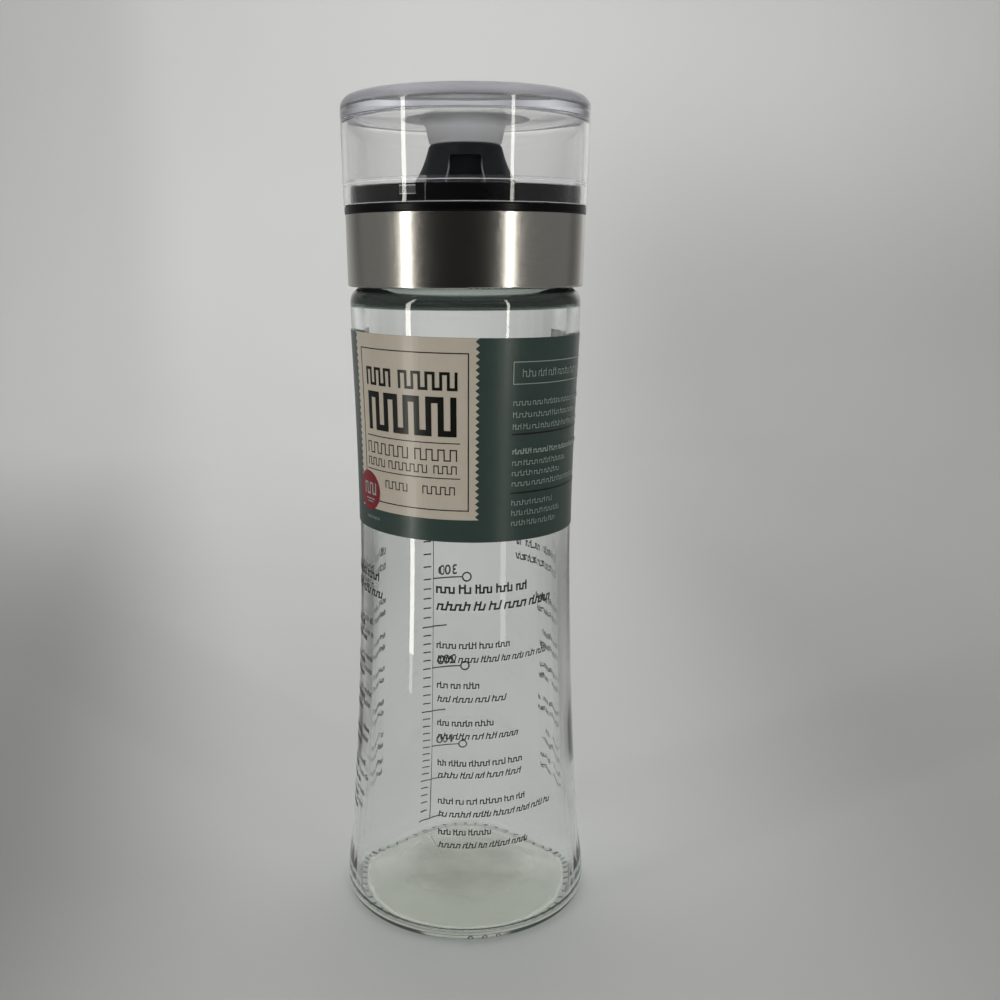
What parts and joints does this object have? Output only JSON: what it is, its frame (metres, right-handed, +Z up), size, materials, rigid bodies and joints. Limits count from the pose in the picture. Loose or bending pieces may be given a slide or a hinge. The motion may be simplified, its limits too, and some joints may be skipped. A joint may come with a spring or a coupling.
{
  "type": "salad dressing shaker bottle",
  "caption": "Flared glass shaker bottle with a steel-banded screw lid, a black pouring spout under a clear lift-off cap and a paper label round its waist.",
  "frame": {"origin": "middle of the bottle's standing face, on the surface it stands on", "axes": "+Z up along the bottle's axis, -Y towards the front, where the label panel and the pouring notch are"},
  "size_m": [0.08, 0.08, 0.2363],
  "materials": {
    "clear_glass": "polished soda-lime glass with a faint green tint",
    "label_paper": "matt printed paper, dark green with a beige panel",
    "black_plastic": "fine satin",
    "brushed_band": "brushed round the band",
    "gasket_silicone": "soft satin silicone",
    "spout_rubber": "soft matt, slightly dusty",
    "clear_plastic": "clear glossy moulded plastic"
  },
  "bodies": {
    "bottle": {"glass_bottle": "clear_glass", "paper_label": "label_paper"},
    "gasket": {"mouth_gasket": "gasket_silicone"},
    "lid": {"lid_body": "black_plastic", "steel_band": "brushed_band", "pour_spout": "spout_rubber"},
    "cap": {"clear_cap": "clear_plastic"}
  },
  "joints": [
    {"name": "lid_rise", "type": "slide", "parent": "bottle", "child": "gasket", "axis": [0, 0, 1], "range_m": [0, 0.0052]},
    {"name": "lid_twist", "type": "hinge", "parent": "gasket", "child": "lid", "pos_m": [0, 0, 0.2], "axis": [0, 0, 1], "range_deg": [0, 460]},
    {"name": "cap_lift", "type": "slide", "parent": "lid", "child": "cap", "axis": [0, 0, 1], "range_m": [0, 0.06]}
  ],
  "couplings": [
    {"joint": "lid_rise", "follows": "lid_twist", "m_per_rad": 0.00063662}
  ]
}
